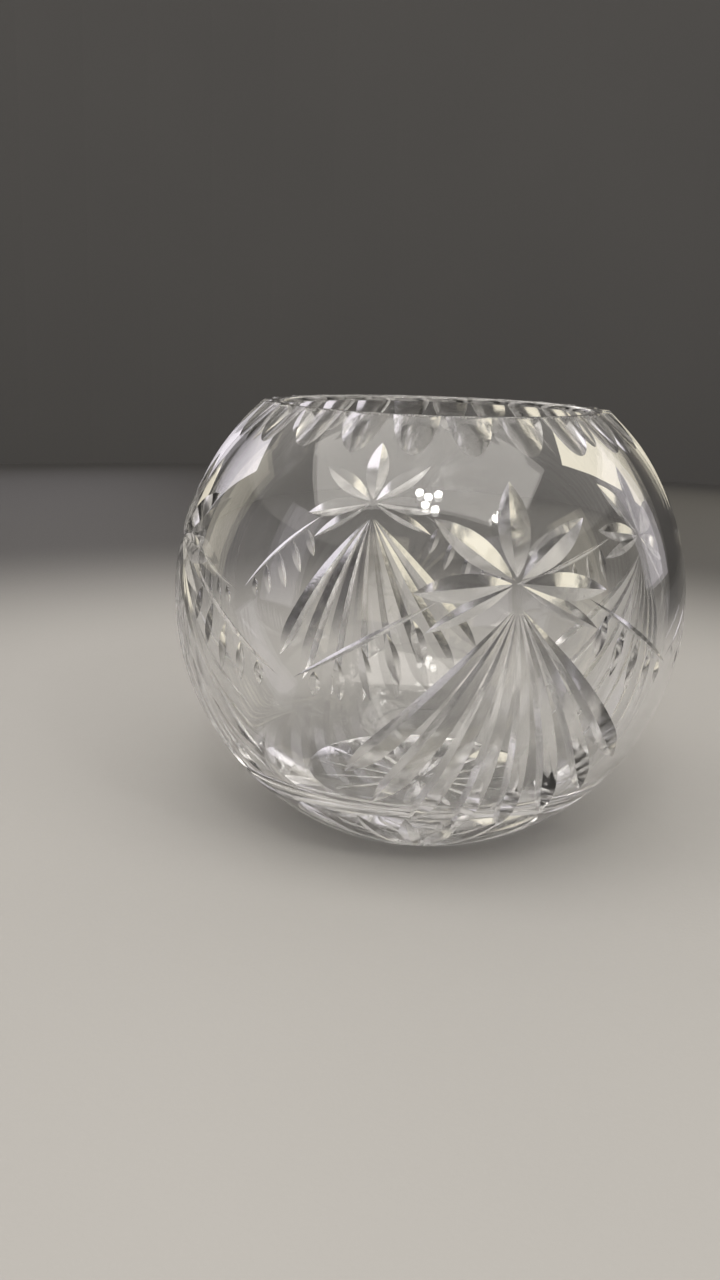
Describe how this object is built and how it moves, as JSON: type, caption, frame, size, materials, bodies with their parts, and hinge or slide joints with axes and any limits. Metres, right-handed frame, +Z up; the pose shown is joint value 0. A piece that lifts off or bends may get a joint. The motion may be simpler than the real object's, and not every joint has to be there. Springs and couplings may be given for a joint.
{
  "type": "rose bowl vase",
  "caption": "Ball-shaped rose bowl of clear cut crystal with a wide mouth, flutes round the shoulder, stars with hanging fans and a rayed flat base.",
  "frame": {"origin": "centre of the flat base, on the surface the bowl stands on", "axes": "+Z up through the mouth, -Y the front, +X to the right seen from the front"},
  "size_m": [0.176, 0.176, 0.142],
  "materials": {
    "crystal": "clear, colourless, polished all over, with polished cuts"
  },
  "bodies": {
    "root": {"cut_glass_bowl": "crystal"}
  },
  "joints": []
}
